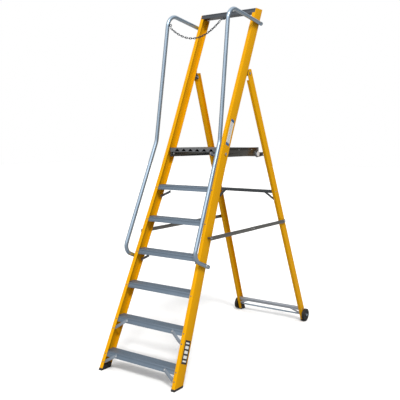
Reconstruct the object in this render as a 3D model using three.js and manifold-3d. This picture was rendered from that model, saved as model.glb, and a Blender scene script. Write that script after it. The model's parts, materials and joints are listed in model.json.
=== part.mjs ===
// Platform step ladder: a leaning front frame with treads and handrails, a platform that tilts up,
// a rear frame that folds against the front one, folding stays and two transport wheels.
// Millimetres. X runs to the right, Y from the front to the rear and Z up. In the ladder's own
// measures Y = 0 is the front plane of the stiles at floor level.

import * as THREE from 'three';
import { mergeVertices } from 'three/addons/utils/BufferGeometryUtils.js';
import Module from 'manifold-3d';

const wasm = await Module();
wasm.setup();

// ---- driving dimensions ----

const GAP = 0.3;               // clearance between pieces that touch
const HEIGHT = 2721;           // floor to the top of the stiles
const SIDES = { left: -1, right: 1 };

const treads = { count: 6, first: 131.5, pitch: 240, height: 34.4, wall: 2.8, groove: 2 };

const stile = {
  lean: 0.439, offset: 0, depth: 95.7, flange: 28.8, wall: 4.7,
  footHalf: 350, taper: 0.0565, bendStart: 1150, topHalf: 265, base: 15,
};

const leg = {
  lean: -0.405, offset: 1968.5, depth: 71, flange: 25, wall: 4.6,
  footHalf: 349, taper: 0.0402, base: 12, top: 2238,
};

const foldPivot = { y: 1107, z: 2203, pin: 5, ear: 18 };
const platformPivot = { y: 745.4, z: 1575, pin: 6 };
const deck = { half: 226.5, front: 711, rear: 1305, bottom: 1588, top: 1618, chambers: 6, spacing: 64.5 };
const tube = { y: 1297, z: 1565, radius: 21, wall: 3, half: 233 };
const stay = { z: 976, frontY: 478, rearY: 1611, height: 30, thickness: 3.2, overrun: 60 };
const stayPlane = { rear: 321.2, front: 324.8 };
const axle = { y: 1976, z: 61, radius: 7, half: 383, shoulder: 11 };
const wheel = { inner: 352.8, outer: 377.2, radius: 56, hub: 31 };
const rail = { radius: 15, bore: 12.8, sides: 12 };
const chain = { y: 751, bottom: 2453, lowestX: -22, curve: 0.0019, left: -249, right: 212, radius: 6 };
const eye = { x: 250, z: 2572, ring: 9, wire: 3 };

const materials = {
  fibreglass: { color: 0xf2a60c, roughness: 0.45, metalness: 0 },
  treadAluminium: { color: 0x8791a0, roughness: 0.4, metalness: 0.9 },
  aluminium: { color: 0xb9bec6, roughness: 0.35, metalness: 0.9 },
  steel: { color: 0x9a9da2, roughness: 0.4, metalness: 0.9 },
  darkSteel: { color: 0x4c4f54, roughness: 0.5, metalness: 0.8 },
  rubber: { color: 0x1c1c1e, roughness: 0.8, metalness: 0 },
  hub: { color: 0x6f7278, roughness: 0.6, metalness: 0 },
};

// ---- solid tools ----

function toSolid(geometry) {
  const bare = geometry.clone();
  bare.deleteAttribute('normal');
  bare.deleteAttribute('uv');
  const merged = mergeVertices(bare, 1e-3);
  return new wasm.Manifold(new wasm.Mesh({
    numProp: 3,
    vertProperties: merged.attributes.position.array,
    triVerts: new Uint32Array(merged.index.array),
  }));
}

function fromSolid(solid) {
  const { vertProperties, triVerts } = solid.getMesh();
  const geometry = new THREE.BufferGeometry();
  geometry.setAttribute('position', new THREE.BufferAttribute(vertProperties, 3));
  geometry.setIndex(new THREE.BufferAttribute(triVerts, 1));
  return geometry;
}

function joined(...pieces) {
  return fromSolid(pieces.map(toSolid).reduce((sum, piece) => sum.add(piece)));
}

function cut(body, ...tools) {
  return fromSolid(tools.map(toSolid).reduce((rest, tool) => rest.subtract(tool), toSolid(body)));
}

// ---- shape tools ----

function outline(points, holes = []) {
  const shape = new THREE.Shape(points.map(([x, y]) => new THREE.Vector2(x, y)));
  shape.holes = holes.map((hole) => new THREE.Path(hole.map(([x, y]) => new THREE.Vector2(x, y))));
  return shape;
}

function ring(radius, sides) {
  const turn = (i) => (2 * Math.PI * (i + 0.5)) / sides;
  return Array.from({ length: sides }, (_, i) => [radius * Math.cos(turn(i)), radius * Math.sin(turn(i))]);
}

function arc([x, y], radius, from, to, steps) {
  return Array.from({ length: steps + 1 }, (_, i) => {
    const angle = THREE.MathUtils.degToRad(from + ((to - from) * i) / steps);
    return [x + radius * Math.cos(angle), y + radius * Math.sin(angle)];
  });
}

// A Y-Z outline drawn out along X between two distances from the middle plane.
function acrossX(points, side, from, to, holes = []) {
  const depth = to - from;
  const geometry = new THREE.ExtrudeGeometry(outline(points, holes), { depth, bevelEnabled: false });
  const start = side > 0 ? from : -to;
  const basis = new THREE.Matrix4().set(0, 0, 1, start, 1, 0, 0, 0, 0, 1, 0, 0, 0, 0, 0, 1);
  return geometry.applyMatrix4(basis);
}

// An X-Z outline drawn out along Y.
function alongY(points, from, to) {
  const depth = to - from;
  const geometry = new THREE.ExtrudeGeometry(outline(points), { depth, bevelEnabled: false });
  const basis = new THREE.Matrix4().set(1, 0, 0, 0, 0, 0, -1, to, 0, 1, 0, 0, 0, 0, 0, 1);
  return geometry.applyMatrix4(basis);
}

// A horizontal section that shifts as it rises through the given heights.
function rising(points, heights, shift) {
  const steps = heights.length - 1;
  const geometry = new THREE.ExtrudeGeometry(outline(points), { depth: steps, steps, bevelEnabled: false });
  const position = geometry.attributes.position;
  for (let i = 0; i < position.count; i += 1) {
    const z = heights[Math.round(position.getZ(i))];
    const [x, y] = shift(z);
    position.setXYZ(i, position.getX(i) + x, position.getY(i) + y, z);
  }
  return geometry;
}

function block([x0, y0, z0], [x1, y1, z1]) {
  const geometry = new THREE.BoxGeometry(Math.abs(x1 - x0), Math.abs(y1 - y0), Math.abs(z1 - z0));
  return geometry.translate((x0 + x1) / 2, (y0 + y1) / 2, (z0 + z1) / 2);
}

// A round piece on an axis along X: profile gives [distance from the middle plane, radius] pairs.
function turnedOnX(profile, side, { y, z }, segments = 20) {
  const points = profile.map(([x, r]) => new THREE.Vector2(r, x));
  const geometry = new THREE.LatheGeometry(points, segments);
  return geometry.rotateZ(-side * Math.PI / 2).translate(0, y, z);
}

function shaft(side, from, to, radius, centre, segments = 20) {
  return turnedOnX([[from, 0], [from, radius], [to, radius], [to, 0]], side, centre, segments);
}

class Route extends THREE.Curve {
  constructor(points) {
    super();
    this.points = points;
  }

  indexAt(u) {
    return Math.round(u * (this.points.length - 1));
  }

  getPointAt(u, target = new THREE.Vector3()) {
    return target.copy(this.points[this.indexAt(u)]);
  }

  getTangentAt(u, target = new THREE.Vector3()) {
    const i = this.indexAt(u);
    const before = this.points[Math.max(i - 1, 0)];
    const after = this.points[Math.min(i + 1, this.points.length - 1)];
    return target.subVectors(after, before).normalize();
  }
}

function swept(points, section, holes = []) {
  const steps = points.length - 1;
  return new THREE.ExtrudeGeometry(outline(section, holes), { steps, extrudePath: new Route(points) });
}

// Corner points joined by straight runs and round bends.
function bentRoute(corners, radii, stepsPerBend = 6) {
  const points = [corners[0]];
  radii.forEach((radius, i) => {
    const corner = corners[i + 1];
    const arriving = corner.clone().sub(corners[i]).normalize();
    const leaving = corners[i + 2].clone().sub(corner).normalize();
    const turn = arriving.angleTo(leaving);
    const inward = leaving.clone().addScaledVector(arriving, -leaving.dot(arriving)).normalize();
    const start = corner.clone().addScaledVector(arriving, -radius * Math.tan(turn / 2));
    for (let step = 0; step <= stepsPerBend; step += 1) {
      const angle = (turn * step) / stepsPerBend;
      const point = start.clone().addScaledVector(arriving, radius * Math.sin(angle));
      points.push(point.addScaledVector(inward, radius * (1 - Math.cos(angle))));
    }
  });
  points.push(corners[corners.length - 1]);
  return points;
}

// ---- the two channel sections ----

const bendLength = (2 * (stile.footHalf - stile.taper * stile.bendStart - stile.topHalf)) / stile.taper;

function stileHalf(z) {
  const along = THREE.MathUtils.clamp((z - stile.bendStart) / bendLength, 0, 1);
  const straight = stile.footHalf - stile.taper * Math.min(z, stile.bendStart);
  return straight - stile.taper * bendLength * (along - (along * along) / 2);
}

function legHalf(z) {
  return leg.footHalf - leg.taper * z;
}

function frontOf(section, z) {
  return section.offset + section.lean * z;
}

function channelOutline(section, side) {
  const { depth, flange, wall } = section;
  const points = [
    [0, 0], [0, depth], [-flange, depth], [-flange, depth - wall],
    [-wall, depth - wall], [-wall, wall], [-flange, wall], [-flange, 0],
  ];
  return points.map(([x, y]) => [side * x, y]);
}

function channel(section, half, side, heights) {
  return rising(channelOutline(section, side), heights, (z) => [side * half(z), frontOf(section, z)]);
}

function rubberFoot(section, half, side, plugTop) {
  const { depth, flange, wall, base } = section;
  const margin = 1.5;
  const shift = (z) => [side * half(z), frontOf(section, z)];
  const rectangle = (x0, x1, y0, y1) => {
    const corners = [[x0, y0], [x1, y0], [x1, y1], [x0, y1]];
    return corners.map(([x, y]) => [side * x, y]);
  };
  const sole = rising(
    rectangle(-flange - margin, margin, -margin, depth + margin), [0, base - GAP], shift);
  const plug = rising(
    rectangle(-flange, -wall - GAP, wall + GAP, depth - wall - GAP), [base - 3, plugTop], shift);
  return joined(sole, plug);
}

// A hollow bar between the two webs of a frame, its ends following the frame's taper.
function crossBar(section, half, { top, height, front, depth, wall, groove }) {
  const bottom = top - height;
  const at = (dy, z) => [frontOf(section, z) + dy, z];
  const rear = front + depth;
  const face = groove
    ? [at(front, top), at(front, top - 8), at(front + groove, top - 9), at(front + groove, top - 19),
      at(front, top - 20), at(front, bottom)]
    : [at(front, top), at(front, bottom)];
  const shell = [...face, at(rear, bottom), at(rear, top)];
  const inset = wall + (groove ?? 0);
  const hollow = [
    at(front + inset, top - wall), at(front + inset, bottom + wall),
    at(rear - wall, bottom + wall), at(rear - wall, top - wall),
  ];
  const geometry = acrossX(shell, 1, -1, 1, [hollow]);
  const position = geometry.attributes.position;
  for (let i = 0; i < position.count; i += 1) {
    const end = half(position.getZ(i)) - section.wall - GAP;
    position.setX(i, Math.sign(position.getX(i)) * end);
  }
  return geometry;
}

// A flat bar in an X-Z plane from one centre-line end to the other.
function flatBar(side, [x0, z0], [x1, z1], width, yFrom, yTo) {
  const length = Math.hypot(x1 - x0, z1 - z0);
  const [dx, dz] = [(-(z1 - z0) * width) / 2 / length, ((x1 - x0) * width) / 2 / length];
  const corners = [[x0 + dx, z0 + dz], [x1 + dx, z1 + dz], [x1 - dx, z1 - dz], [x0 - dx, z0 - dz]];
  return alongY(corners.map(([x, z]) => [side * x, z]), yFrom, yTo);
}

// ---- front frame ----

function frontStile(side) {
  const bends = Array.from({ length: 7 }, (_, i) => stile.bendStart + (bendLength * i) / 6);
  const body = channel(stile, stileHalf, side, [stile.base, ...bends, HEIGHT]);
  const webInside = stile.topHalf - stile.wall;
  const topOpening = block(
    [side * (webInside - 40), frontOf(stile, HEIGHT) - 60, HEIGHT - treads.height - GAP],
    [side * webInside, frontOf(stile, HEIGHT) + 150, HEIGHT + 10]);
  const boltHole = shaft(side, webInside - 10, stile.topHalf + 20, platformPivot.pin + GAP, platformPivot);
  return cut(body, topOpening, boltHole);
}

function tread(number) {
  return crossBar(stile, stileHalf, {
    top: treads.first + treads.pitch * (number - 1),
    height: treads.height,
    front: stile.wall + GAP,
    depth: stile.depth - 2 * (stile.wall + GAP),
    wall: treads.wall,
    groove: treads.groove,
  });
}

function topBar() {
  return crossBar(stile, stileHalf, {
    top: HEIGHT, height: treads.height, front: GAP, depth: 86, wall: treads.wall, groove: treads.groove,
  });
}

// A flat bar that leans with a frame, between two depths behind the frame's front plane.
function leaningBar(section, side, from, to, width, front, rear) {
  const geometry = flatBar(side, from, to, width, front, rear);
  const position = geometry.attributes.position;
  for (let i = 0; i < position.count; i += 1) {
    position.setY(i, position.getY(i) + frontOf(section, position.getZ(i)));
  }
  return geometry;
}

// The front brace lies on the tread's face and steps back to pass behind the stile's front flange.
function frontBrace(side, [x0, z0], [x1, z1]) {
  const width = 22;
  const thickness = 3;
  const slope = (z1 - z0) / (x1 - x0);
  const at = (x) => [x, z0 + slope * (x - x0)];
  const step = { from: x1 - 34, to: x1 - 28 };
  const behindFlange = stile.wall + GAP;
  const rear = behindFlange + thickness;
  return joined(
    leaningBar(stile, side, at(x0), at(step.to), width, stile.wall - thickness, stile.wall),
    leaningBar(stile, side, at(step.from), at(step.to), width, stile.wall - thickness, rear),
    leaningBar(stile, side, at(step.from), at(x1), width, behindFlange, rear));
}

function rearBraceOfTread(side, from, to) {
  return leaningBar(stile, side, from, to, 20, 76, 79);
}

const railCorners = (side) => [
  [280.6, 1241, 2603], [279.5, 766, 2665], [297, 624, 1672], [322, 262, 848], [323.5, 438, 773],
].map(([x, y, z]) => new THREE.Vector3(side * x, y, z));

function handrail(side) {
  const route = bentRoute(railCorners(side), [100, 150, 70]);
  return swept(route, ring(rail.radius, rail.sides), [ring(rail.bore, rail.sides)]);
}

function railPlug(side, end) {
  const corners = railCorners(side);
  const [tip, next] = end === 'upper' ? [corners[0], corners[1]] : [corners[4], corners[3]];
  const outward = tip.clone().sub(next).normalize();
  const at = (distance) => tip.clone().addScaledVector(outward, distance);
  const cap = swept([at(GAP), at(5)], ring(rail.radius, rail.sides));
  const spigot = swept([at(-18), at(1)], ring(rail.bore - 2 * GAP, rail.sides));
  return joined(cap, spigot);
}

function hingeBracket(side) {
  const base = { inner: 236.3, outer: 263, from: 2168, to: 2252, thickness: 4.3 };
  const ear = { inner: 246, outer: 250.5 };
  const rearFace = stile.depth + GAP;
  const plate = rising(
    [
      [side * base.inner, rearFace], [side * base.outer, rearFace],
      [side * base.outer, rearFace + base.thickness], [side * base.inner, rearFace + base.thickness],
    ],
    [base.from, base.to], (z) => [0, frontOf(stile, z)]);
  const root = (z) => [frontOf(stile, z) + rearFace + 2, z];
  const nose = arc([foldPivot.y, foldPivot.z], foldPivot.ear, -100, 80, 8);
  const lug = acrossX([root(base.from + 8), ...nose, root(base.to - 6)], side, ear.inner, ear.outer);
  const hole = shaft(side, ear.inner - 10, ear.outer + 10, foldPivot.pin + GAP, foldPivot);
  return cut(joined(plate, lug), hole);
}

function platformBolt(side) {
  const web = { inner: stileHalf(platformPivot.z) - stile.wall, outer: stileHalf(platformPivot.z) };
  const pin = platformPivot.pin;
  const profile = [
    [220.5, 0], [220.5, 10], [226.6, 10], [226.6, pin], [233.4, pin], [233.4, 10],
    [web.inner - 1, 10], [web.inner - 1, pin], [web.outer + 1, pin], [web.outer + 1, 11],
    [web.outer + 7, 11], [web.outer + 7, 0],
  ];
  return turnedOnX(profile, side, platformPivot);
}

function chainTube() {
  const steps = 26;
  const points = Array.from({ length: steps + 1 }, (_, i) => {
    const x = chain.left + ((chain.right - chain.left) * i) / steps;
    return new THREE.Vector3(x, chain.y, chain.bottom + chain.curve * (x - chain.lowestX) ** 2);
  });
  return swept(points, ring(chain.radius, 8));
}

function chainEye(side) {
  const loop = new THREE.TorusGeometry(eye.ring, eye.wire, 8, 14).rotateX(Math.PI / 2)
    .translate(side * eye.x, chain.y, eye.z);
  const shank = shaft(side, eye.x + eye.ring, 263.2, eye.wire, { y: chain.y, z: eye.z }, 10);
  const collar = shaft(side, 261, 263.6, 6, { y: chain.y, z: eye.z }, 12);
  return joined(loop, shank, collar);
}

function snapLink() {
  const wire = 2;
  const far = { x: 219, z: 2562.5 };
  const length = Math.hypot(eye.x - far.x, eye.z - far.z);
  const halfWidth = 9;
  const geometry = new THREE.TorusGeometry(halfWidth, wire, 8, 18);
  const stretch = length / 2 / halfWidth;
  geometry.scale(stretch, 1, 1).rotateY(-Math.atan2(eye.z - far.z, eye.x - far.x));
  return geometry.translate((eye.x + far.x) / 2, chain.y, (eye.z + far.z) / 2);
}

// ---- platform ----

function platformDeck() {
  const halfBase = 24;
  const floor = deck.bottom + 4;
  const peak = deck.top - 6;
  const chambers = Array.from({ length: deck.chambers }, (_, i) => {
    const x = deck.spacing * (i - (deck.chambers - 1) / 2);
    return [[x - halfBase, floor], [x + halfBase, floor], [x + 2, peak], [x - 2, peak]];
  });
  const panel = block([-deck.half, deck.front, deck.bottom], [deck.half, deck.rear, deck.top]);
  return cut(panel, ...chambers.map((chamber) => alongY(chamber, deck.front - 1, deck.rear + 1)));
}

function platformSide(side) {
  const x = { flange: 214, web: 227, webOuter: 230.4, band: deck.half + GAP, outer: 233 };
  const bottom = 1550;
  const ledge = 1586.5;
  const lowerRear = 1262;
  const flangeFront = platformPivot.y + 100;
  const band = block([side * x.band, deck.front, ledge], [side * x.outer, deck.rear, deck.top + 2]);
  const web = block([side * x.web, deck.front, bottom], [side * x.webOuter, lowerRear, ledge + 3]);
  const lip = block([side * x.flange, flangeFront, bottom], [side * x.webOuter, lowerRear, bottom + 3]);
  const hole = shaft(side, x.web - 5, x.outer + 5, platformPivot.pin + GAP, platformPivot);
  return cut(joined(band, web, lip), hole);
}

function platformTube() {
  const { half, radius, wall } = tube;
  const profile = [
    [-half, radius], [half, radius], [half, radius - wall], [-half, radius - wall], [-half, radius],
  ];
  return turnedOnX(profile, 1, tube, 24);
}

// ---- rear frame ----

function rearLeg(side) {
  const body = channel(leg, legHalf, side, [leg.base, leg.top]);
  const mitre = { behindStile: 118, from: 2150, flangeFrom: 2150, flangeDepth: 8 };
  const roof = leg.top + 10;
  const mitreFace = (z) => [frontOf(stile, z) + mitre.behindStile, z];
  const wedge = acrossX(
    [[900, mitre.from], mitreFace(mitre.from), mitreFace(roof), [900, roof]], side, 200, 300);
  const flangeLine = (z) => [frontOf(leg, z) + mitre.flangeDepth, z];
  const flangeTool = acrossX(
    [[900, mitre.flangeFrom], flangeLine(mitre.flangeFrom), flangeLine(roof), [900, roof]],
    side, 200, legHalf(foldPivot.z) - leg.wall);
  const pinHole = shaft(side, 240, 275, foldPivot.pin + GAP, foldPivot);
  const axleHole = shaft(side, 330, 360, axle.radius + GAP, axle);
  return cut(body, wedge, flangeTool, pinHole, axleHole);
}

function rearBar(top) {
  return crossBar(leg, legHalf, { top, height: 25, front: 8, depth: 50, wall: 2.5 });
}

// Lies on the front of a rear bar and runs on between the bar and the leg's front flange.
function rearBrace(side, from, to) {
  return leaningBar(leg, side, from, to, 20, leg.wall + GAP, leg.wall + 3);
}

// The cradle hooks under the platform tube and is bolted inside the leg's channel. Behind the tube
// its arm rises no steeper than the way the tube lifts out.
function cradle(side) {
  const inner = 220;
  const outer = 225;
  const arm = { rise: 13, riseFrom: 38, drop: 17, footHeight: 6, footFront: 22, reach: 62 };
  const centre = [tube.y, tube.z];
  const legFront = frontOf(leg, tube.z);
  const reach = legFront + arm.reach;
  const seat = [
    ...arc(centre, tube.radius + 0.5, -32, -150, 8),
    ...arc(centre, tube.radius + 7, -150, -90, 4),
    [reach, tube.z - arm.drop], [reach, tube.z + arm.rise], [tube.y + arm.riseFrom, tube.z + arm.rise],
  ];
  const webInside = legHalf(tube.z - arm.drop + arm.footHeight) - leg.wall - GAP;
  const foot = block(
    [side * inner, legFront + arm.footFront, tube.z - arm.drop],
    [side * webInside, reach, tube.z - arm.drop + arm.footHeight]);
  return joined(acrossX(seat, side, inner, outer), foot);
}

function hingePin(side) {
  const pin = foldPivot.pin;
  const web = legHalf(foldPivot.z);
  const profile = [
    [240, 0], [240, 9], [245.6, 9], [245.6, pin], [250.9, pin], [250.9, 9],
    [web - leg.wall - 0.6, 9], [web - leg.wall - 0.6, pin], [web + 1, pin], [web + 1, 10],
    [web + 7, 10], [web + 7, 0],
  ];
  return turnedOnX(profile, side, foldPivot);
}

function axleRod() {
  const { half, radius, shoulder } = axle;
  const legFace = legHalf(axle.z) + 0.8;
  const profile = [
    [0, radius], [legFace, radius], [legFace, shoulder], [wheel.inner - GAP, shoulder],
    [wheel.inner - GAP, radius], [wheel.outer + GAP, radius], [wheel.outer + GAP, shoulder],
    [half, shoulder], [half, 0],
  ];
  const mirrored = profile.slice(1).reverse().map(([x, r]) => [-x, r]);
  return turnedOnX([...mirrored, ...profile.slice(1)], 1, axle, 16);
}

function wheelHub(side) {
  const bore = axle.radius + 0.4;
  const profile = [
    [wheel.inner, bore], [wheel.inner, 18], [wheel.inner + 3, 20], [wheel.inner + 3, wheel.hub],
    [wheel.outer - 3, wheel.hub], [wheel.outer - 3, 20], [wheel.outer, 18], [wheel.outer, bore],
    [wheel.inner, bore],
  ];
  return turnedOnX(profile, side, axle, 24);
}

function wheelTyre(side) {
  const inside = wheel.hub + 0.4;
  const middle = (wheel.inner + wheel.outer) / 2;
  const profile = [
    [middle - 11, inside], [middle - 11, wheel.radius - 3], [middle - 8, wheel.radius],
    [middle + 8, wheel.radius], [middle + 11, wheel.radius - 3], [middle + 11, inside],
    [middle - 11, inside],
  ];
  return turnedOnX(profile, side, axle, 24);
}

// ---- stays ----

function stayLink(side, yFrom, yTo, plane) {
  const half = stay.height / 2;
  const corner = 6;
  const points = [
    [yFrom, stay.z - half + corner], [yFrom + corner, stay.z - half], [yTo - corner, stay.z - half],
    [yTo, stay.z - half + corner], [yTo, stay.z + half - corner], [yTo - corner, stay.z + half],
    [yFrom + corner, stay.z + half], [yFrom, stay.z + half - corner],
  ];
  return acrossX(points, side, plane, plane + stay.thickness);
}

const stayMiddle = (stay.frontY + stay.rearY) / 2;
const stayEnd = 16;            // how far a link runs past its pivot
const bushRadius = 9;

function frontStay(side) {
  const link = stayLink(side, stay.frontY - stayEnd, stayMiddle + stay.overrun, stayPlane.front);
  const face = stileHalf(stay.z - bushRadius) + GAP;
  const bush = shaft(side, face, stayPlane.front + 1, bushRadius, { y: stay.frontY, z: stay.z }, 16);
  return joined(link, bush);
}

function rearStay(side) {
  const link = stayLink(side, stayMiddle - stayEnd, stay.rearY + stayEnd, stayPlane.rear);
  const face = legHalf(stay.z - bushRadius) + GAP;
  const bush = shaft(side, face, stayPlane.rear + 1, bushRadius, { y: stay.rearY, z: stay.z }, 16);
  return joined(link, bush);
}

// ---- assembly ----

const ladder = new THREE.Group();
ladder.position.y = -(leg.offset + leg.depth) / 2;

function add(name, material, geometry) {
  const mesh = new THREE.Mesh(geometry, new THREE.MeshStandardMaterial(materials[material]));
  mesh.name = name;
  ladder.add(mesh);
}

for (let number = 1; number <= treads.count; number += 1) {
  add(`tread_${number}`, 'treadAluminium', tread(number));
}
add('top_bar', 'treadAluminium', topBar());
add('platform_deck', 'aluminium', platformDeck());
add('platform_tube', 'steel', platformTube());
add('rear_bar_upper', 'aluminium', rearBar(1253));
add('rear_bar_lower', 'aluminium', rearBar(131));
add('axle_rod', 'steel', axleRod());
add('chain', 'steel', chainTube());
add('snap_link', 'steel', snapLink());

for (const [name, side] of Object.entries(SIDES)) {
  add(`front_stile_${name}`, 'fibreglass', frontStile(side));
  add(`front_foot_${name}`, 'rubber', rubberFoot(stile, stileHalf, side, 34));
  add(`front_brace_1_${name}`, 'aluminium', frontBrace(side, [219, 118], [335, 51]));
  add(`front_brace_2_${name}`, 'aluminium', frontBrace(side, [205, 360], [322, 282]));
  add(`rear_brace_4_${name}`, 'aluminium', rearBraceOfTread(side, [219, 800], [286, 764]));
  add(`rear_brace_6_${name}`, 'aluminium', rearBraceOfTread(side, [172, 1280], [258, 1238]));
  add(`handrail_${name}`, 'aluminium', handrail(side));
  add(`handrail_plug_upper_${name}`, 'rubber', railPlug(side, 'upper'));
  add(`handrail_plug_lower_${name}`, 'rubber', railPlug(side, 'lower'));
  add(`chain_eye_${name}`, 'steel', chainEye(side));
  add(`hinge_bracket_${name}`, 'darkSteel', hingeBracket(side));
  add(`hinge_pin_${name}`, 'steel', hingePin(side));
  add(`platform_bolt_${name}`, 'steel', platformBolt(side));
  add(`platform_side_${name}`, 'aluminium', platformSide(side));
  add(`rear_leg_${name}`, 'fibreglass', rearLeg(side));
  add(`rear_foot_${name}`, 'rubber', rubberFoot(leg, legHalf, side, 38));
  add(`rear_brace_upper_${name}`, 'aluminium', rearBrace(side, [204, 1236], [284, 1170]));
  add(`rear_brace_lower_${name}`, 'aluminium', rearBrace(side, [232, 116], [326, 78]));
  add(`cradle_${name}`, 'darkSteel', cradle(side));
  add(`wheel_hub_${name}`, 'hub', wheelHub(side));
  add(`wheel_tyre_${name}`, 'rubber', wheelTyre(side));
  add(`stay_front_${name}`, 'steel', frontStay(side));
  add(`stay_rear_${name}`, 'steel', rearStay(side));
}

export default ladder;
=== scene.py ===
import json
import math

import bpy
from mathutils import Matrix, Vector
from mathutils.bvhtree import BVHTree


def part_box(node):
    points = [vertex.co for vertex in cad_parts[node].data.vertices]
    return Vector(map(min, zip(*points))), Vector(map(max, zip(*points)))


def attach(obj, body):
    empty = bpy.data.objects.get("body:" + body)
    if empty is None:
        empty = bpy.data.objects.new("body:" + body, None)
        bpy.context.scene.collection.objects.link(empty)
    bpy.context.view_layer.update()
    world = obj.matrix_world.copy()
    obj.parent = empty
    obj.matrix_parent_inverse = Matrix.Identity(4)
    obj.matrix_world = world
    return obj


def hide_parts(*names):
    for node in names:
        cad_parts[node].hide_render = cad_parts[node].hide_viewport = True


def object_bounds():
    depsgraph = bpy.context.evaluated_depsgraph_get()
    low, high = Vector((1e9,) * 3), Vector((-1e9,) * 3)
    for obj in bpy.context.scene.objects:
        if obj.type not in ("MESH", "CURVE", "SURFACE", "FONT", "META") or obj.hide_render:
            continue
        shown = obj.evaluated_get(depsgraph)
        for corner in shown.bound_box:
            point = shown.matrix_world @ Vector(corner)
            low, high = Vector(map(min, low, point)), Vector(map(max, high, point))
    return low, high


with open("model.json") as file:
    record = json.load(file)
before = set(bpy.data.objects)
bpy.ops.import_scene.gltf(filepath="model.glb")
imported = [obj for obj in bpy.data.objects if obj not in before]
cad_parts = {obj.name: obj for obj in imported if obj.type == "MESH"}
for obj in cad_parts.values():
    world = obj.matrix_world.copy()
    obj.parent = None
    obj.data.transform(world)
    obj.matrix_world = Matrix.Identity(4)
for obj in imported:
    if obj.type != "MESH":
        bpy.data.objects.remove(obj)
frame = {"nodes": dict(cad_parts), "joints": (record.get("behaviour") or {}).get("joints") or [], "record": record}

# ---- the ladder's own measures, in metres ----

cad_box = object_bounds()
scene = bpy.context.scene
nodes = frame["nodes"]
bodies = frame["record"]["behaviour"]["bodies"]
body_of_node = {node: body for body, members in bodies.items() for node in members}
slot_of_node = {part["node"]: part["material_slot"] for part in frame["record"]["subparts"]}
pivots = {joint["name"]: Vector(joint["pos_m"]) for joint in frame["joints"]}
SIDES = {"left": -1, "right": 1}
MM = 0.001
FRONT_Y = cad_box[0].y + 1.5 * MM            # front plane of the stiles at floor level
STILE_LEAN = 0.439                           # rearward shift per height
LEG_FRONT_Y = FRONT_Y + 1.9685               # front plane of the rear legs at floor level
LEG_LEAN = -0.405
TREADS = [f"tread_{number}" for number in range(1, 7)]
CHAIN_PITCH = 20.2 * MM


def stile_front(z):
    return FRONT_Y + STILE_LEAN * z


def leg_front(z):
    return LEG_FRONT_Y + LEG_LEAN * z


# ---- camera ----

def add_camera():
    data = bpy.data.cameras.new("camera")
    data.lens = 54.6
    data.sensor_width = 36
    data.shift_x = -0.0044
    data.shift_y = 0.0023
    camera = bpy.data.objects.new("camera", data)
    scene.collection.objects.link(camera)
    yaw = math.radians(35.12)
    pitch = math.radians(-5.82)
    forward = Vector((-math.sin(yaw) * math.cos(pitch), math.cos(yaw) * math.cos(pitch), math.sin(pitch)))
    camera.location = (2.749, FRONT_Y - 3.090, 1.687)
    camera.rotation_mode = "QUATERNION"
    camera.rotation_quaternion = forward.to_track_quat("-Z", "Y")
    scene.camera = camera


# ---- working with pieces ----

def clear_selection():
    if bpy.context.mode != "OBJECT":
        bpy.ops.object.mode_set(mode="OBJECT")
    bpy.ops.object.select_all(action="DESELECT")


def take(piece):
    clear_selection()
    piece.select_set(True)
    bpy.context.view_layer.objects.active = piece


def start(name):
    """Names the primitive that was just added and gives it as the piece being worked on."""
    piece = bpy.context.active_object
    piece.name = name
    piece.data.name = name
    return piece


def settle(piece):
    """Puts a piece's place, turn and scale into its mesh."""
    take(piece)
    bpy.ops.object.transform_apply(location=True, rotation=True, scale=True)
    return piece


def edit(piece, mode):
    """Opens a piece for editing by its points, its edges or its faces."""
    take(piece)
    bpy.context.tool_settings.mesh_select_mode = [mode == kind for kind in ("points", "edges", "faces")]
    bpy.ops.object.mode_set(mode="EDIT")


def pick(piece, faces=None, points=None, edges=None):
    """Selects in edit mode the faces, points or edges that a test on the mesh chooses."""
    take(piece)
    mesh = piece.data
    for group in (mesh.polygons, mesh.vertices, mesh.edges):
        group.foreach_set("select", [False] * len(group))
    tests = {
        "faces": (faces, mesh.polygons), "points": (points, mesh.vertices), "edges": (edges, mesh.edges)}
    mode, (test, group) = next(item for item in tests.items() if item[1][0])
    for part in group:
        part.select = test(part)
    edit(piece, mode)


def leave_edit():
    bpy.ops.object.mode_set(mode="OBJECT")


def whole(piece):
    edit(piece, "points")
    bpy.ops.mesh.select_all(action="SELECT")


def rounded(piece, width, segments=2, angle=30):
    take(piece)
    bevel = piece.modifiers.new("edges", "BEVEL")
    bevel.width = width
    bevel.segments = segments
    bevel.limit_method = "ANGLE"
    bevel.angle_limit = math.radians(angle)
    bpy.ops.object.modifier_apply(modifier=bevel.name)
    return piece


def smoothed(piece, angle=35):
    take(piece)
    bpy.ops.object.shade_smooth_by_angle(angle=math.radians(angle))
    return piece


def copied(piece, matrix):
    mesh = piece.data.copy()
    mesh.transform(matrix)
    if matrix.determinant() < 0:
        mesh.flip_normals()
    other = bpy.data.objects.new(piece.name, mesh)
    scene.collection.objects.link(other)
    return other


def gathered(name, members):
    take(members[0])
    for member in members[1:]:
        member.select_set(True)
    if len(members) > 1:
        bpy.ops.object.join()
    members[0].name = name
    members[0].data.name = name
    return members[0]


def finished(piece, body, slot, material, *replaced):
    piece.data.materials.clear()
    piece.data.materials.append(material)
    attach(piece, body)
    if replaced:
        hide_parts(*replaced)
    return piece


def merged_copy(node):
    """A copy of a frame node as one welded mesh with flat faces joined."""
    mesh = nodes[node].data.copy()
    piece = bpy.data.objects.new(f"{node}_finished", mesh)
    mesh.name = piece.name
    scene.collection.objects.link(piece)
    whole(piece)
    bpy.ops.mesh.remove_doubles(threshold=0.00001)
    bpy.ops.mesh.dissolve_limited(angle_limit=math.radians(0.3))
    leave_edit()
    return piece


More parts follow.
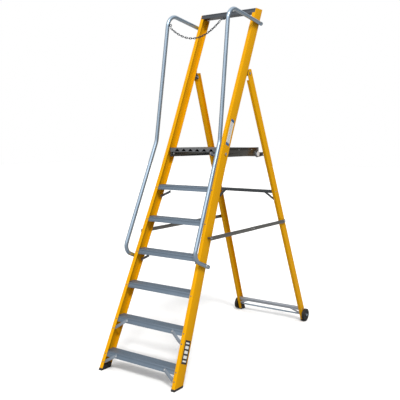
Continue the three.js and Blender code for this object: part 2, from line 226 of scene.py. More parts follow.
def cast(node, origin, direction):
    """Where a straight line first meets a frame node, and the face's outward normal there."""
    mesh = nodes[node].data
    points = [point.co for point in mesh.vertices]
    tree = BVHTree.FromPolygons(points, [face.vertices for face in mesh.polygons])
    place, normal, _, _ = tree.ray_cast(Vector(origin), Vector(direction).normalized())
    return place, normal


def basis(origin, along, normal):
    """The matrix that stands a piece made on +Z at origin, its +X turned along the given way."""
    up = Vector(normal).normalized()
    side = Vector(along) - up * up.dot(Vector(along))
    side.normalize()
    across = up.cross(side)
    return Matrix.Translation(Vector(origin)) @ Matrix((side, across, up)).transposed().to_4x4()


# ---- finishes ----

class Number:
    """A node's output that adds Math nodes when it is used in a sum."""

    def __init__(self, finish, socket):
        self.finish = finish
        self.socket = socket

    def combined(self, operation, left, right):
        node = self.finish.node("ShaderNodeMath", {"operation": operation}, {0: left, 1: right})
        return Number(self.finish, node.outputs[0])

    def __add__(self, other):
        return self.combined("ADD", self, other)

    def __radd__(self, other):
        return self.combined("ADD", other, self)

    def __sub__(self, other):
        return self.combined("SUBTRACT", self, other)

    def __rsub__(self, other):
        return self.combined("SUBTRACT", other, self)

    def __mul__(self, other):
        return self.combined("MULTIPLY", self, other)

    def __rmul__(self, other):
        return self.combined("MULTIPLY", other, self)

    def __gt__(self, other):
        return self.combined("GREATER_THAN", self, other)

    def __lt__(self, other):
        return self.combined("LESS_THAN", self, other)


class Finish:
    """One material, built round its Principled shader."""

    def __init__(self, name):
        self.material = bpy.data.materials.new(name)
        self.material.use_nodes = True
        self.tree = self.material.node_tree
        self.shader = self.tree.nodes["Principled BSDF"]
        self.place = self.node("ShaderNodeTexCoord").outputs["Object"]

    def node(self, kind, settings=None, inputs=None):
        node = self.tree.nodes.new(kind)
        for key, value in (settings or {}).items():
            if key == "stops":
                for stop, (position, colour) in zip(node.color_ramp.elements, value):
                    stop.position = position
                    stop.color = (*colour, 1)
            else:
                setattr(node, key, value)
        for key, value in (inputs or {}).items():
            self.feed(node.inputs[key], value)
        return node

    def feed(self, socket, value):
        if isinstance(value, Number):
            value = value.socket
        if isinstance(value, bpy.types.NodeSocket):
            self.tree.links.new(value, socket)
        else:
            socket.default_value = value

    def turned(self, rotation=(0, 0, 0), scale=(1, 1, 1), location=(0, 0, 0)):
        inputs = {"Vector": self.place, "Rotation": rotation, "Scale": scale, "Location": location}
        return self.node("ShaderNodeMapping", {"vector_type": "TEXTURE"}, inputs).outputs[0]

    def noise(self, scale, detail=3.0, vector=None, roughness=0.5):
        inputs = {"Vector": vector or self.place, "Scale": scale, "Detail": detail, "Roughness": roughness}
        return Number(self, self.node("ShaderNodeTexNoise", {}, inputs).outputs[0])

    def spread(self, value, low, high, to_low=0.0, to_high=1.0):
        inputs = {0: value, 1: low, 2: high, 3: to_low, 4: to_high}
        return Number(self, self.node("ShaderNodeMapRange", {"clamp": True}, inputs).outputs[0])

    def mixed(self, amount, first, second):
        inputs = {0: amount, 6: self.colour(first), 7: self.colour(second)}
        return self.node("ShaderNodeMix", {"data_type": "RGBA"}, inputs).outputs[2]

    @staticmethod
    def colour(value):
        return (*value, 1) if isinstance(value, tuple) and len(value) == 3 else value

    def bump(self, height, distance, strength=1.0):
        inputs = {"Height": height, "Distance": distance, "Strength": strength}
        return self.node("ShaderNodeBump", {}, inputs).outputs[0]

    def done(self, **sockets):
        """Feeds the shader's sockets, named in words joined by underscores."""
        for key, value in sockets.items():
            socket = key.replace("_", " ").title().replace("Ior", "IOR")
            self.feed(self.shader.inputs[socket], self.colour(value))
        return self.material


def fibreglass(name, lean_degrees):
    """Pultruded resin profile: strong yellow with faint strands along its length."""
    finish = Finish(name)
    along = finish.turned(rotation=(math.radians(lean_degrees), 0, 0), scale=(1, 1, 40))
    strands = finish.noise(260, 3, along)
    clouds = finish.noise(5, 4)
    specks = finish.spread(finish.noise(420, 2), 0.68, 0.74)
    scuffs = finish.spread(finish.noise(38, 5, roughness=0.7), 0.62, 0.75)
    base = finish.mixed(strands, (0.69, 0.33, 0.0005), (0.81, 0.396, 0.001))
    warmer = finish.mixed(clouds * 0.35, base, (0.72, 0.30, 0.001))
    worn = finish.mixed(scuffs * 0.25, warmer, (0.62, 0.30, 0.03))
    colour = finish.mixed(specks * 0.15, worn, (0.30, 0.15, 0.02))
    return finish.done(
        base_color=colour,
        roughness=finish.spread(clouds, 0.3, 0.7, 0.42, 0.55) + scuffs * 0.12,
        specular_ior_level=0.07,
        normal=finish.bump(strands, 0.0003, 0.1))


def extruded_metal(name, colour, shade, grain, metallic, roughness, relief=0.2):
    """Mill-finish metal with die lines along its length, grain giving the stretch on each axis."""
    finish = Finish(name)
    lines = finish.noise(700, 2, finish.turned(scale=grain))
    clouds = finish.noise(9, 4)
    marks = finish.spread(finish.noise(60, 6, roughness=0.75), 0.60, 0.72)
    base = finish.mixed(lines, shade, colour)
    dulled = finish.mixed(clouds * 0.5, base, shade)
    worn = finish.mixed(marks * 0.35, dulled, tuple(0.55 * part for part in shade))
    return finish.done(
        base_color=worn,
        metallic=metallic,
        roughness=finish.spread(clouds + lines * 0.4, 0.4, 1.0, roughness, roughness + 0.16) + marks * 0.1,
        normal=finish.bump(lines, 0.0002, relief))


def plated_steel(name, colour, roughness):
    finish = Finish(name)
    spangle = finish.noise(180, 2)
    tarnish = finish.spread(finish.noise(30, 5, roughness=0.7), 0.45, 0.75)
    base = finish.mixed(spangle, tuple(0.8 * part for part in colour), colour)
    return finish.done(
        base_color=finish.mixed(tarnish * 0.4, base, tuple(0.45 * part for part in colour)),
        metallic=0.9,
        roughness=finish.spread(tarnish, 0, 1, roughness, roughness + 0.2),
        normal=finish.bump(spangle, 0.0002, 0.2))


def moulded(name, colour, roughness, dust=(0.16, 0.155, 0.15)):
    finish = Finish(name)
    grain = finish.noise(900, 2)
    dusty = finish.spread(finish.noise(45, 5, roughness=0.65), 0.5, 0.8)
    return finish.done(
        base_color=finish.mixed(dusty * 0.35, colour, dust),
        roughness=finish.spread(dusty, 0, 1, roughness, roughness + 0.15),
        normal=finish.bump(grain, 0.0003, 0.35))


def printed_label(name, field, band, matrix, half_length, stripe, marks=None):
    """A glossy label: end bands in one colour, a field in another, plain blocks where print would be."""
    finish = Finish(name)
    turn = matrix.to_euler()
    local = finish.turned(rotation=tuple(turn), location=tuple(matrix.translation))
    parts = finish.node("ShaderNodeSeparateXYZ", {}, {0: local})
    x = Number(finish, parts.outputs[0])
    y = Number(finish, parts.outputs[1])
    distance = Number(finish, finish.node("ShaderNodeMath", {"operation": "ABSOLUTE"}, {0: x}).outputs[0])
    ends = distance > half_length - stripe
    colour = finish.mixed(ends, field, band)
    if marks:
        pitch, share, width, ink = marks
        wave = finish.node("ShaderNodeMath", {"operation": "PINGPONG"}, {0: x, 1: pitch / 2})
        inside = (Number(finish, wave.outputs[0]) < pitch * share / 2) * (1 - ends)
        edge = finish.node("ShaderNodeMath", {"operation": "ABSOLUTE"}, {0: y})
        block = inside * (Number(finish, edge.outputs[0]) < width)
        colour = finish.mixed(block, colour, ink)
    scuffs = finish.spread(finish.noise(140, 5, roughness=0.7), 0.6, 0.75)
    return finish.done(
        base_color=finish.mixed(scuffs * 0.3, colour, (0.45, 0.42, 0.36)),
        roughness=0.3 + scuffs * 0.25,
        normal=finish.bump(scuffs, 0.0001, 0.2))


LENGTHWAYS_X = (60, 1, 1)
LENGTHWAYS_Y = (1, 60, 1)
LENGTHWAYS_Z = (1, 1, 60)
STILE_ANGLE = math.degrees(math.atan(-STILE_LEAN))
LEG_ANGLE = math.degrees(math.atan(-LEG_LEAN))

finishes = {
    "stile": fibreglass("stile_fibreglass", STILE_ANGLE),
    "leg": fibreglass("leg_fibreglass", LEG_ANGLE),
    "tread": extruded_metal(
        "tread_metal", (0.17, 0.22, 0.28), (0.12, 0.16, 0.208), LENGTHWAYS_X, 0.45, 0.4),
    "top": extruded_metal(
        "top_bar_metal", (0.085, 0.096, 0.112), (0.045, 0.052, 0.063), LENGTHWAYS_X, 0.5, 0.34),
    "bar": extruded_metal("bar_metal", (0.50, 0.53, 0.58), (0.36, 0.39, 0.44), LENGTHWAYS_X, 0.7, 0.3),
    # Painted shade: a darker copy of bar_metal for the upper rear bar and its braces, standing for the shadow
    # under the platform.
    "painted_shade_bar": extruded_metal(
        "painted_shade_bar_metal", (0.14, 0.155, 0.165), (0.08, 0.09, 0.10), LENGTHWAYS_X, 0.7, 0.35),
    "brace": extruded_metal("brace_metal", (0.26, 0.30, 0.35), (0.18, 0.21, 0.25), LENGTHWAYS_X, 0.5, 0.36),
    "deck": extruded_metal(
        "deck_metal", (0.27, 0.28, 0.295), (0.15, 0.156, 0.163), LENGTHWAYS_Y, 0.75, 0.28),
    # Painted shade: a darker, browner copy of the platform metal for the platform's side channels, standing for
    # the shadow on them.
    "side": extruded_metal(
        "side_metal_painted_shade", (0.15, 0.145, 0.13), (0.06, 0.058, 0.05), LENGTHWAYS_Y, 0.9, 0.16, 0.1),
    "disc": extruded_metal("disc_metal", (0.88, 0.89, 0.90), (0.72, 0.73, 0.74), LENGTHWAYS_Y, 0.15, 0.35),
    "stay": extruded_metal(
        "stay_metal", (0.25, 0.245, 0.235), (0.15, 0.148, 0.14), LENGTHWAYS_Y, 0.8, 0.34),
    "rail": extruded_metal(
        "rail_metal", (0.40, 0.50, 0.60), (0.34, 0.43, 0.53), LENGTHWAYS_Z, 0.92, 0.24, 0.06),
    "zinc": plated_steel("zinc_plate", (0.60, 0.61, 0.62), 0.28),
    "chain": plated_steel("chain_plate", (0.085, 0.10, 0.115), 0.38),
    "dark": plated_steel("dark_plate", (0.16, 0.165, 0.18), 0.4),
    "rubber": moulded("foot_rubber", (0.012, 0.012, 0.013), 0.6),
    "tyre": moulded("wheel_tyre_rubber", (0.006, 0.006, 0.007), 0.6, (0.03, 0.03, 0.03)),
    "hub": moulded("hub_plastic", (0.016, 0.017, 0.018), 0.4, (0.06, 0.06, 0.06)),
}


# ---- chain between the handrails ----

def chain_route(steps=40):
    """The hanging line of the chain, from the left rail's eye to the snap link."""
    y = FRONT_Y + 0.751
    left = -0.249
    right = 0.212
    lowest_x = -0.022
    bottom = 2.453
    curve = 1.9
    spots = [left + (right - left) * i / steps for i in range(steps + 1)]
    return [Vector((x, y, bottom + curve * (x - lowest_x) ** 2)) for x in spots]


def chain_link():
    wire = 2.5 * MM
    bow = 5.2 * MM
    stretch = 7.5 * MM
    clear_selection()
    bpy.ops.mesh.primitive_torus_add(
        major_radius=bow, minor_radius=wire, major_segments=18, minor_segments=8)
    link = start("chain_link")
    for way in (-1, 1):
        pick(link, points=lambda point: point.co.x * way > 0)
        bpy.ops.transform.translate(value=(way * stretch, 0, 0))
        leave_edit()
    return link


def spaced(route, count):
    """Evenly spaced middles of count equal lengths of a route, each with the way the route runs."""
    lengths = [(b - a).length for a, b in zip(route, route[1:])]
    places = []
    for i in range(count):
        wanted = sum(lengths) * (i + 0.5) / count
        for a, b, length in zip(route, route[1:], lengths):
            if wanted <= length:
                places.append((a.lerp(b, wanted / length), (b - a).normalized()))
                break
            wanted -= length
    return places


def add_chain():
    route = chain_route()
    link = chain_link()
    length = sum((b - a).length for a, b in zip(route, route[1:]))
    links = []
    for i, (middle, way) in enumerate(spaced(route, round(length / CHAIN_PITCH))):
        quarter = Matrix.Rotation(math.pi / 2 * (i % 2), 4, "X")
        links.append(copied(link, basis(middle, way, (0, 1, 0)) @ quarter))
    bpy.data.objects.remove(link)
    chain = smoothed(gathered("chain_links", links))
    finished(chain, "front_frame", "zinc_steel", finishes["chain"], "chain")
    snap = add_snap_link()


def add_snap_link():
    low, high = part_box("snap_link")
    middle = (low + high) / 2
    span = high.x - low.x
    slope = math.atan2(9.5, 31)
    wire = 2 * MM
    bow = 7.5 * MM
    clear_selection()
    bpy.ops.mesh.primitive_torus_add(
        major_radius=bow, minor_radius=wire, major_segments=26, minor_segments=12)
    snap = start("snap_link_finished")
    stretch = span / 2 - bow - wire
    for way in (-1, 1):
        pick(snap, points=lambda point: point.co.x * way > 0)
        bpy.ops.transform.translate(value=(way * stretch, 0, 0))
        leave_edit()
    snap.matrix_world = Matrix.Translation(middle) @ Matrix.Rotation(-slope, 4, "Y")
    settle(snap)
    clear_selection()
    bpy.ops.mesh.primitive_cylinder_add(vertices=16, radius=3.1 * MM, depth=14 * MM)
    sleeve = start("gate_sleeve")
    pick(sleeve, faces=lambda face: abs(face.normal.z) > 0.9)
    bpy.ops.mesh.inset(thickness=0.9 * MM)
    bpy.ops.transform.resize(value=(1, 1, 1.12))
    leave_edit()
    turned = Matrix.Rotation(-slope, 4, "Y") @ Matrix.Translation((0, -bow, 0))
    sleeve.matrix_world = Matrix.Translation(middle) @ turned @ Matrix.Rotation(math.pi / 2, 4, "Y")
    settle(sleeve)
    snap = smoothed(gathered("snap_link_finished", [snap, sleeve]))
    return finished(snap, "front_frame", "zinc_steel", finishes["chain"], "snap_link")


# ---- handrails ----

def rail_corners(side):
    """Corner points of a handrail's centre line, from its upper rear end to its lower rear end."""
    corners = [
        (0.2806, 1.241, 2.603), (0.2795, 0.766, 2.665), (0.297, 0.624, 1.672),
        (0.322, 0.262, 0.848), (0.3235, 0.438, 0.773),
    ]
    return [Vector((side * x, FRONT_Y + y, z)) for x, y, z in corners]


def bent_tube(name, corners, bends, radius, wall):
    """A round tube drawn out through its corners, with a round bend at each inner one."""
    clear_selection()
    first = (corners[1] - corners[0]).normalized()
    bpy.ops.mesh.primitive_circle_add(
        vertices=36, radius=radius, location=corners[0], rotation=first.to_track_quat("Z", "Y").to_euler())
    piece = settle(start(name))
    whole(piece)
    here = corners[0]
    for i, bend in enumerate(bends):
        corner = corners[i + 1]
        arriving = (corner - corners[i]).normalized()
        leaving = (corners[i + 2] - corner).normalized()
        turn = arriving.angle(leaving)
        inward = (leaving - arriving * leaving.dot(arriving)).normalized()
        begin = corner - arriving * bend * math.tan(turn / 2)
        bpy.ops.mesh.extrude_region_move(TRANSFORM_OT_translate={"value": begin - here})
        bpy.ops.mesh.spin(
            steps=max(6, round(math.degrees(turn) / 6)), angle=-turn,
            center=begin + inward * bend, axis=arriving.cross(inward))
        here = corner + leaving * bend * math.tan(turn / 2)
    bpy.ops.mesh.extrude_region_move(TRANSFORM_OT_translate={"value": corners[-1] - here})
    bpy.ops.mesh.select_all(action="SELECT")
    bpy.ops.mesh.remove_doubles(threshold=0.00005)
    bpy.ops.mesh.normals_make_consistent(inside=False)
    leave_edit()
    thickness = piece.modifiers.new("wall", "SOLIDIFY")
    thickness.thickness = wall
    thickness.offset = -1
    bpy.ops.object.modifier_apply(modifier=thickness.name)
    return smoothed(piece, 50)


def add_handrails():
    for name, side in SIDES.items():
        rail = bent_tube(f"handrail_{name}_tube", rail_corners(side), (0.1, 0.15, 0.07), 15 * MM, 2.2 * MM)
        finished(rail, "front_frame", "rail_aluminium", finishes["rail"], f"handrail_{name}")


# ---- treads, top bar and deck with ribbed tops ----

def ribbed(piece, axis, first, pitch, groove, count, depth):
    """Sinks parallel grooves into the highest faces of a piece."""
    normal = [0, 0, 0]
    normal[axis] = 1
    top = max(point.co.z for point in piece.data.vertices)
    edges = [first + pitch * i + end * groove for i in range(count) for end in (0, 1)]
    for place in edges:
        whole(piece)
        point = [0, 0, 0]
        point[axis] = place
        bpy.ops.mesh.bisect(plane_co=point, plane_no=normal)
        leave_edit()

    def in_groove(face):
        middle = face.center[axis] - first
        within = 0 < middle < pitch * (count - 1) + groove and middle % pitch < groove
        return within and face.normal.z > 0.9 and face.center.z > top - 0.5 * MM
    pick(piece, faces=in_groove)
    bpy.ops.mesh.extrude_region_move(TRANSFORM_OT_translate={"value": (0, 0, -depth)})
    leave_edit()
    return piece


def add_treads():
    for node in [*TREADS, "top_bar"]:
        piece = merged_copy(node)
        rear = max(point.co.y for point in piece.data.vertices)
        ribbed_depth = 78 * MM
        ribbed(piece, 1, rear - ribbed_depth, 8.4 * MM, 2.2 * MM, 9, 0.7 * MM)
        rounded(piece, 0.45 * MM, 2)
        smoothed(piece, 30)
        paint = finishes["top" if node == "top_bar" else "tread"]
        finished(piece, "front_frame", "tread_aluminium", paint, node)


def add_deck():
    piece = merged_copy("platform_deck")
    ribbed(piece, 0, -0.216, 16 * MM, 5 * MM, 27, 1.2 * MM)
    rounded(piece, 0.4 * MM, 1)
    smoothed(piece, 30)
    finished(piece, "platform", "platform_aluminium", finishes["deck"], "platform_deck")


# ---- wheels ----

def on_axle(piece, side):
    middle = pivots[f"wheel_{'right' if side > 0 else 'left'}_spin"]
    piece.matrix_world = Matrix.Translation(middle) @ Matrix.Rotation(math.pi / 2 * side, 4, "Y")
    return settle(piece)


def wheel_tyre():
    clear_selection()
    bpy.ops.mesh.primitive_cylinder_add(vertices=72, radius=0.056, depth=0.022)
    tyre = start("tyre")
    pick(tyre, faces=lambda face: abs(face.normal.z) > 0.99)
    bpy.ops.mesh.inset(thickness=0.0246)
    bpy.ops.mesh.bridge_edge_loops()
    leave_edit()
    for place in (-3.6 * MM, -2 * MM, 2 * MM, 3.6 * MM):
        whole(tyre)
        bpy.ops.mesh.bisect(plane_co=(0, 0, place), plane_no=(0, 0, 1))
        leave_edit()

    def in_groove(face):
        return face.center.to_2d().length > 0.05 and 2 * MM < abs(face.center.z) < 3.6 * MM
    pick(tyre, faces=in_groove)
    bpy.ops.mesh.extrude_region_shrink_fatten(TRANSFORM_OT_shrink_fatten={"value": -1.6 * MM})
    leave_edit()
    rounded(tyre, 1.8 * MM, 3, 60)
    return smoothed(tyre, 40)


def wheel_hub():
    sides = 48

    def round_end(face):
        return abs(face.normal.z) > 0.99 and len(face.vertices) == sides

    clear_selection()
    bpy.ops.mesh.primitive_cylinder_add(vertices=sides, radius=0.0312, depth=0.0184)
    hub = start("hub")
    steps = (
        (3.2 * MM, -3.5 * MM),
        (11.5 * MM, 0),
        (1.2 * MM, 6.2 * MM),
    )
    for inset, rise in steps:
        pick(hub, faces=round_end)
        bpy.ops.mesh.inset(thickness=inset)
        leave_edit()
        if rise:
            reach = max(abs(face.center.z) for face in hub.data.polygons if len(face.vertices) == sides)
            pick(hub, faces=round_end)
            bpy.ops.transform.resize(value=(1, 1, (reach + rise) / reach))
            leave_edit()
    pick(hub, faces=round_end)
    bpy.ops.mesh.inset(thickness=6.8 * MM)
    bpy.ops.mesh.bridge_edge_loops()
    leave_edit()

    def spoke_window(face):
        fifth = 72
        angle = math.degrees(math.atan2(face.center.y, face.center.x)) % fifth
        reach = face.center.to_2d().length
        return abs(face.normal.z) > 0.9 and 0.016 < reach < 0.026 and 14 < angle < 58
    pick(hub, faces=spoke_window)
    bpy.ops.mesh.inset(thickness=0.9 * MM)
    bpy.ops.mesh.extrude_region_shrink_fatten(TRANSFORM_OT_shrink_fatten={"value": -1.8 * MM})
    leave_edit()
    rounded(hub, 0.5 * MM, 2, 35)
    return smoothed(hub, 35)


def add_wheels():
    tyre = wheel_tyre()
    hub = wheel_hub()
    for name, side in SIDES.items():
        body = f"wheel_{name}"
        ring = on_axle(copied(tyre, Matrix.Identity(4)), side)
        ring.name = f"tyre_{name}"
        finished(ring, body, "tyre_rubber", finishes["tyre"], f"wheel_tyre_{name}")
        centre = on_axle(copied(hub, Matrix.Identity(4)), side)
        centre.name = f"hub_{name}"
        finished(centre, body, "hub_plastic", finishes["hub"], f"wheel_hub_{name}")
    bpy.data.objects.remove(tyre)
    bpy.data.objects.remove(hub)


# ---- frame nodes that keep their shape and get worked edges ----

EDGES = {
    "front_stile": ("stile", 2.0, 3), "rear_leg": ("leg", 1.8, 3), "front_foot": ("rubber", 1.5, 2),
    "rear_foot": ("rubber", 1.5, 2), "front_brace_1": ("brace", 0.5, 2), "front_brace_2": ("brace", 0.5, 2),
    "rear_brace_4": ("brace", 0.5, 2), "rear_brace_6": ("brace", 0.5, 2),
    # the upper rear braces take the darkened bar finish, which is painted shade
    "rear_brace_upper": ("painted_shade_bar", 0.5, 2), "rear_brace_lower": ("bar", 0.5, 2),
    "handrail_plug_upper": ("rubber", 0.8, 2), "handrail_plug_lower": ("rubber", 0.8, 2),
    "chain_eye": ("chain", 0.0, 0), "hinge_bracket": ("dark", 0.6, 2), "hinge_pin": ("zinc", 0.5, 2),
    # platform_side takes the side finish, which holds painted shade
    "platform_bolt": ("zinc", 0.5, 2), "platform_side": ("side", 0.4, 2), "cradle": ("dark", 0.6, 2),
    "stay_front": ("stay", 0.5, 2), "stay_rear": ("stay", 0.5, 2),
}
SINGLE_EDGES = {
    # the upper rear bar takes the darkened bar finish, which is painted shade
    "platform_tube": ("bar", 0.4, 2), "rear_bar_upper": ("painted_shade_bar", 0.8, 2),
    "rear_bar_lower": ("bar", 0.8, 2), "axle_rod": ("rail", 0.5, 2),
}


def add_worked_nodes():
    wanted = {f"{stem}_{name}": work for stem, work in EDGES.items() for name in SIDES}
    wanted.update(SINGLE_EDGES)
    for node, (finish, width, segments) in wanted.items():
        piece = merged_copy(node)
        if width:
            rounded(piece, width * MM, segments)
        smoothed(piece, 35)
        finished(piece, body_of_node[node], slot_of_node[node], finishes[finish], node)


# ---- fasteners ----

def rivet(radius):
    """A domed head with a small dimple, on +Z."""
    sides = 20
    clear_selection()
    bpy.ops.mesh.primitive_cylinder_add(vertices=sides, radius=radius, depth=radius * 0.3)
    head = start("rivet")
    for inset, rise in ((0.18, 0.16), (0.3, 0.12), (0.22, -0.12)):
        pick(head, faces=lambda face: face.normal.z > 0.9 and len(face.vertices) == sides)
        bpy.ops.mesh.inset(thickness=radius * inset)
        bpy.ops.transform.translate(value=(0, 0, radius * rise))
        leave_edit()
    return smoothed(head, 25)


def bolt(radius):
    """A hexagon head on a washer."""
    clear_selection()
    bpy.ops.mesh.primitive_cylinder_add(vertices=6, radius=radius, depth=radius * 0.62,
                                        location=(0, 0, radius * 0.48))
    head = settle(start("bolt"))
    pick(head, faces=lambda face: face.normal.z > 0.9)
    bpy.ops.mesh.inset(thickness=radius * 0.14)
    bpy.ops.transform.translate(value=(0, 0, radius * 0.08))
    leave_edit()
    rounded(head, radius * 0.05, 2)
    clear_selection()
    bpy.ops.mesh.primitive_cylinder_add(vertices=28, radius=radius * 1.32, depth=radius * 0.2,
                                        location=(0, 0, radius * 0.08))
    washer = settle(start("washer"))
    pick(washer, faces=lambda face: face.normal.z > 0.9)
    bpy.ops.mesh.inset(thickness=radius * 0.12)
    bpy.ops.transform.translate(value=(0, 0, radius * 0.03))
    leave_edit()
    return smoothed(gathered("bolt", [head, washer]), 30)


def add_fasteners(name, head, seats, body, finish="zinc", slot="zinc_steel"):
    copies = [copied(head, basis(place, (0, 0.3, 1), normal)) for place, normal in seats if place]
    finished(gathered(name, copies), body, slot, finishes[finish])


def from_front(node, x, z):
    return cast(node, (x, cad_box[0].y - 1, z), (0, 1, 0))


def from_side(node, side, y, z):
    return cast(node, (side * 1.0, y, z), (-side, 0, 0))


def front_rivets():
    """Rivet places on the stiles' front flanges, and on the lower braces' inner ends."""
    def on_flange(name, side, z):
        stile = f"front_stile_{name}"
        web, _ = from_side(stile, side, stile_front(z) + 0.05, z)
        return from_front(stile, web.x - side * 0.017, z)

    seats = []
    brace_seats = []
    for name, side in SIDES.items():
        seats.extend(on_flange(name, side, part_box(node)[1].z - 0.0165) for node in TREADS)
        for number in (1, 2):
            brace = f"front_brace_{number}_{name}"
            low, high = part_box(brace)
            seats.append(on_flange(name, side, low.z + 0.017))
            inner = low.x if side > 0 else high.x
            brace_seats.append(from_front(brace, inner + side * 0.012, high.z - 0.016))
    return seats, brace_seats


def rear_rivets():
    seats = []
    for name, side in SIDES.items():
        leg = f"rear_leg_{name}"
        for bar in ("rear_bar_upper", "rear_bar_lower"):
            low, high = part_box(bar)
            z = (low.z + high.z) / 2
            seats.extend(from_side(leg, side, leg_front(z) + depth, z) for depth in (0.018, 0.046))
        low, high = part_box(f"rear_brace_upper_{name}")
        outer = high.x if side > 0 else low.x
        z = low.z + 0.012
        seats.append(cast(leg, (outer - side * 0.008, leg_front(z) - 0.5, z), (0, 1, 0)))
    return seats


def rail_bolts():
    seats = []
    for side in SIDES.values():
        upper = rail_corners(side)[0].lerp(rail_corners(side)[1], 0.075)
        lower = rail_corners(side)[4].lerp(rail_corners(side)[3], 0.2)
        for place in (upper, lower):
            seats.append((place + Vector((side * 0.0146, 0, 0)), Vector((side, 0, 0))))
    return seats


def stay_seats(name, side, link, offsets):
    """Places on a link's outer face, given from the middle of the stay."""
    middle = (pivots[f"stay_front_{name}_fold"] + pivots[f"stay_rear_{name}_fold"]) / 2
    return [from_side(f"{link}_{name}", side, middle.y + offset, middle.z) for offset in offsets]


def add_all_fasteners():
    small = rivet(4.6 * MM)
    large = rivet(7 * MM)
    hexagon = bolt(6.6 * MM)
    stile_seats, brace_seats = front_rivets()
    add_fasteners("front_rivets", small, stile_seats, "front_frame", "dark")
    add_fasteners("front_brace_rivets", small, brace_seats, "front_frame")
    add_fasteners("rear_rivets", small, rear_rivets(), "rear_frame")
    add_fasteners("handrail_bolts", hexagon, rail_bolts(), "front_frame")
    for name, side in SIDES.items():
        half_span = (pivots[f"stay_rear_{name}_fold"].y - pivots[f"stay_front_{name}_fold"].y) / 2
        front = stay_seats(name, side, "stay_front", (-half_span, 0, 0.035))
        add_fasteners(f"stay_rivets_{name}", large, front, f"stay_front_{name}")
        rear = stay_seats(name, side, "stay_rear", (half_span,))
        add_fasteners(f"stay_bolt_{name}", hexagon, rear, f"stay_rear_{name}")
        start_y = pivots["platform_tilt"].y
        steps = (0.06, 0.25, 0.45, 0.54)
        band = [from_side(f"platform_side_{name}", side, start_y + step, 1.603) for step in steps]
        add_fasteners(f"deck_rivets_{name}", small, band, "platform")
    for head in (small, large, hexagon):
        bpy.data.objects.remove(head)


# ---- end discs of the platform tube ----

def add_tube_discs():
    low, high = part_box("platform_tube")
    middle = (low + high) / 2
    for name, side in SIDES.items():
        clear_selection()
        bpy.ops.mesh.primitive_cylinder_add(vertices=40, radius=20.6 * MM, depth=3 * MM)
        disc = start(f"tube_disc_{name}")
        pick(disc, faces=lambda face: face.normal.z > 0.9)
        bpy.ops.mesh.inset(thickness=3 * MM)
        bpy.ops.transform.translate(value=(0, 0, -0.8 * MM))
        bpy.ops.mesh.inset(thickness=7 * MM)
        bpy.ops.transform.translate(value=(0, 0, 0.6 * MM))
        leave_edit()
        rounded(disc, 0.4 * MM, 2)
        place = Vector((side * (high.x + 1.2 * MM), middle.y, middle.z))
        disc.matrix_world = Matrix.Translation(place) @ Matrix.Rotation(math.pi / 2 * side, 4, "Y")
        settle(disc)
        smoothed(disc, 30)
        finished(disc, "platform", "platform_aluminium", finishes["disc"])


# ---- labels on the right stile ----

def add_label(name, height, depth, length, width, paint):
    """A thin label laid on the outer web, its length along the stile."""
    stile = "front_stile_right"
    below = height - length * 0.3
    above = height + length * 0.3
    low, normal = from_side(stile, 1, stile_front(below) + depth, below)
    high, _ = from_side(stile, 1, stile_front(above) + depth, above)
    matrix = basis((low + high) / 2 + normal * 2 * MM, high - low, normal)
    clear_selection()
    bpy.ops.mesh.primitive_grid_add(x_subdivisions=24, y_subdivisions=4, size=1)
    label = start(name)
    whole(label)
    bpy.ops.transform.resize(value=(length, width, 1))
    leave_edit()
    label.matrix_world = matrix
    settle(label)
    wrap = label.modifiers.new("wrap", "SHRINKWRAP")
    wrap.target = nodes[stile]
    wrap.wrap_method = "NEAREST_SURFACEPOINT"
    wrap.wrap_mode = "ABOVE_SURFACE"
    wrap.offset = 0.15 * MM
    bpy.ops.object.modifier_apply(modifier=wrap.name)
    thickness = label.modifiers.new("thickness", "SOLIDIFY")
    thickness.thickness = 0.35 * MM
    thickness.offset = 1
    bpy.ops.object.modifier_apply(modifier=thickness.name)
    finished(label, "front_frame", "fibreglass", paint(matrix))


def add_labels():
    add_label(
        "rating_label", 1.737, 0.050, 0.212, 0.044,
        lambda matrix: printed_label(
            "rating_label_print", (0.80, 0.80, 0.78), (0.03, 0.12, 0.30), matrix, 0.106, 0.022,
            (0.011, 0.35, 0.014, (0.30, 0.31, 0.33))))
    add_label(
        "maker_label", 0.230, 0.050, 0.162, 0.062,
        lambda matrix: printed_label(
            "maker_label_print", (0.012, 0.012, 0.013), (0.012, 0.012, 0.013), matrix, 0.081, 0.014,
            (0.033, 0.62, 0.020, (0.78, 0.78, 0.76))))


# ---- floor and light ----

def add_floor():
    """A white floor that throws only a little light back up at the ladder."""
    clear_selection()
    bpy.ops.mesh.primitive_plane_add(size=60)
    floor = start("floor")
    finish = Finish("floor_paper")
    seen = finish.node("ShaderNodeLightPath").outputs["Is Camera Ray"]
    floor.data.materials.append(finish.done(
        base_color=finish.mixed(seen, (0.34, 0.34, 0.34), (0.93, 0.93, 0.93)), roughness=0.9))


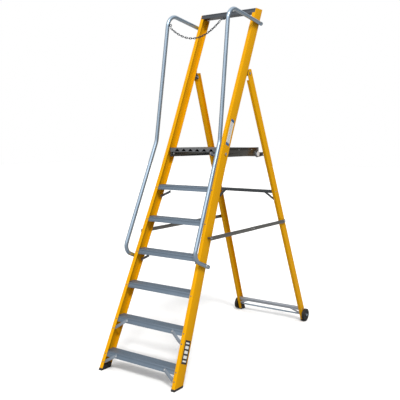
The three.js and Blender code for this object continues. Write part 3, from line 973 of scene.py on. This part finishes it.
def add_surroundings():
    """A white backdrop that lights the ladder softly, more from above than from the sides."""
    world = bpy.data.worlds.new("studio")
    world.use_nodes = True
    tree = world.node_tree
    backdrop = tree.nodes["Background"]
    way = tree.nodes.new("ShaderNodeTexCoord").outputs["Generated"]

    def glow(direction, low, high, dark, bright):
        """Light that grows as the way looked comes nearer to a direction."""
        nearness = tree.nodes.new("ShaderNodeVectorMath")
        nearness.operation = "DOT_PRODUCT"
        tree.links.new(way, nearness.inputs[0])
        nearness.inputs[1].default_value = direction
        ramp = tree.nodes.new("ShaderNodeMapRange")
        ramp.interpolation_type = "SMOOTHSTEP"
        tree.links.new(nearness.outputs["Value"], ramp.inputs["Value"])
        for name, value in (("From Min", low), ("From Max", high), ("To Min", dark), ("To Max", bright)):
            ramp.inputs[name].default_value = value
        return ramp.outputs[0]
    total = tree.nodes.new("ShaderNodeMath")
    tree.links.new(glow((0, 0, 1), 0, 1, 0.2, 1.1), total.inputs[0])
    tree.links.new(glow((-0.05, -0.95, 0.3), 0.5, 1, 0, 0.75), total.inputs[1])
    seen = tree.nodes.new("ShaderNodeMix")
    tree.links.new(tree.nodes.new("ShaderNodeLightPath").outputs["Is Camera Ray"], seen.inputs["Factor"])
    tree.links.new(total.outputs[0], seen.inputs["A"])
    seen.inputs["B"].default_value = 1.0
    tree.links.new(seen.outputs[0], backdrop.inputs["Strength"])
    backdrop.inputs["Color"].default_value = (1, 1, 1, 1)
    scene.world = world


def add_light():
    scene.view_settings.view_transform = "Standard"
    add_surroundings()
    data = bpy.data.lights.new("key", "SUN")
    data.energy = 2.1
    data.angle = math.radians(14)
    data.color = (1.0, 0.985, 0.96)
    key = bpy.data.objects.new("key", data)
    scene.collection.objects.link(key)
    key.rotation_mode = "QUATERNION"
    key.rotation_quaternion = Vector((-0.46, 0.44, -0.77)).to_track_quat("-Z", "Y")


# ---- making ----

add_camera()
add_chain()
add_handrails()
add_treads()
add_deck()
add_worked_nodes()
add_wheels()
add_tube_discs()
add_all_fasteners()
add_labels()
add_floor()
add_light()
